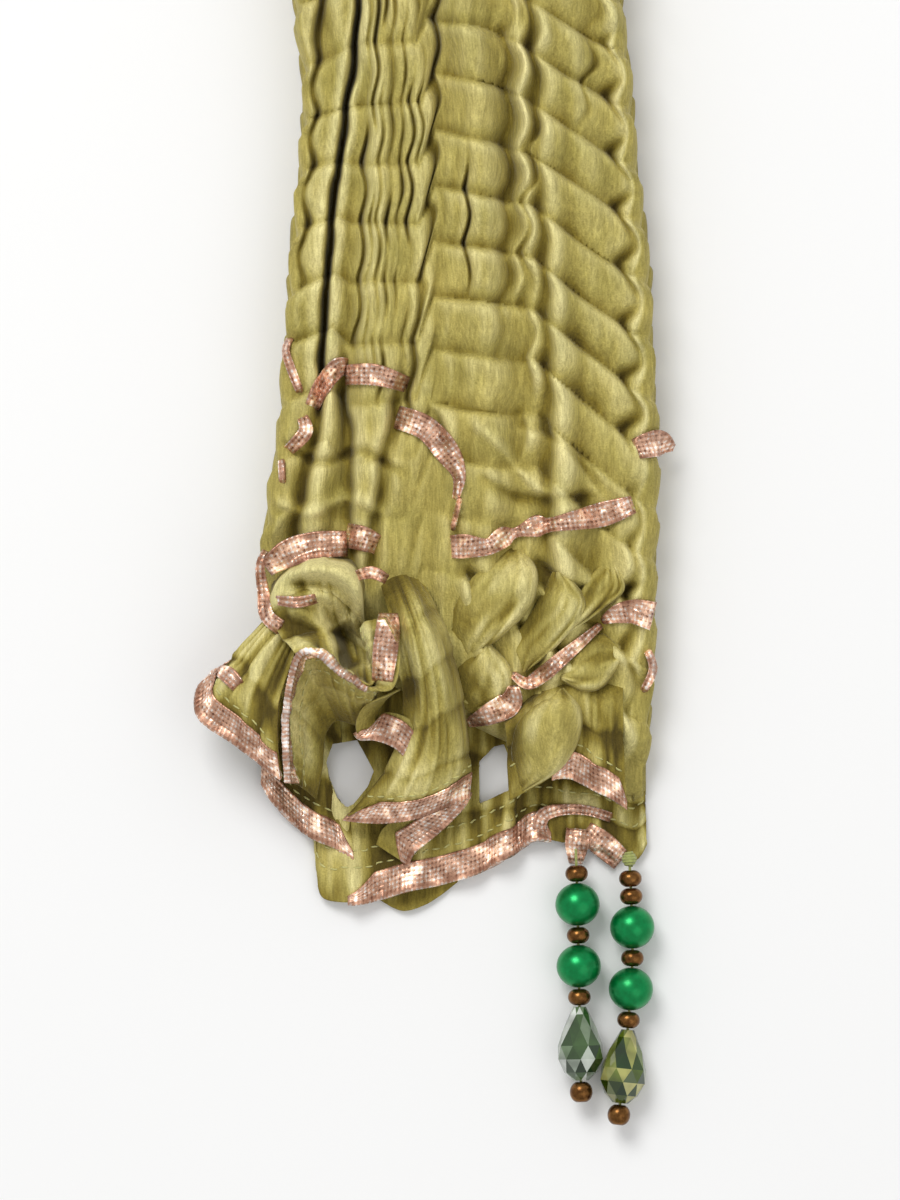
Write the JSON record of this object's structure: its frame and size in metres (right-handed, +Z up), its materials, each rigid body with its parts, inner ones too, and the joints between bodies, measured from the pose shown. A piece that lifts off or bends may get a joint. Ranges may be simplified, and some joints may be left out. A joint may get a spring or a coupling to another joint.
{
  "type": "dupatta stole, folded once, gathered and laid flat",
  "caption": "Crinkled sheer dupatta stole laid in a gathered fold, with ruffled taped hems and bead strands at its corners.",
  "frame": {"origin": "centre of the box that the laid stole fills, on the surface it lies on", "axes": "+Z up from the surface; +Y along the stole, from the beaded end to the fold; +X to the right of the beaded end seen from above"},
  "size_m": [0.0865, 0.8421, 0.0278],
  "materials": {
    "chiffon": "sheer crinkled olive-green chiffon, soft sheen",
    "tape": "woven rose-gold metallised tape, bright and sparkling",
    "pearl": "emerald-green pearlised beads",
    "bronze": "dark bronze seed beads",
    "crystal": "faceted green glass drops with a bright coating",
    "thread": "green sewing thread"
  },
  "bodies": {
    "root": {"stole_bundle": "chiffon", "upper_end_fan": "chiffon", "upper_end_curl": "chiffon", "upper_end_roll": "chiffon", "upper_end_skirt": "chiffon", "lower_end": "chiffon", "hem_tape_fan": "tape", "hem_tape_curl": "tape", "hem_tape_roll": "tape", "hem_tape_skirt": "tape", "hem_tape_lower": "tape", "row_one_left": "tape", "row_one_right": "tape", "row_one_turn": "tape", "row_two_left": "tape", "row_two_right": "tape", "left_bead_1_seed": "bronze", "left_bead_2_pearl": "pearl", "left_bead_3_seed": "bronze", "left_bead_4_pearl": "pearl", "left_bead_5_seed": "bronze", "left_bead_6_drop": "crystal", "left_bead_7_end": "bronze", "left_thread": "thread", "right_bead_1_seed": "bronze", "right_bead_2_seed": "bronze", "right_bead_3_pearl": "pearl", "right_bead_4_seed": "bronze", "right_bead_5_pearl": "pearl", "right_bead_6_seed": "bronze", "right_bead_7_drop": "crystal", "right_bead_8_end": "bronze", "right_thread": "thread"}
  },
  "joints": []
}
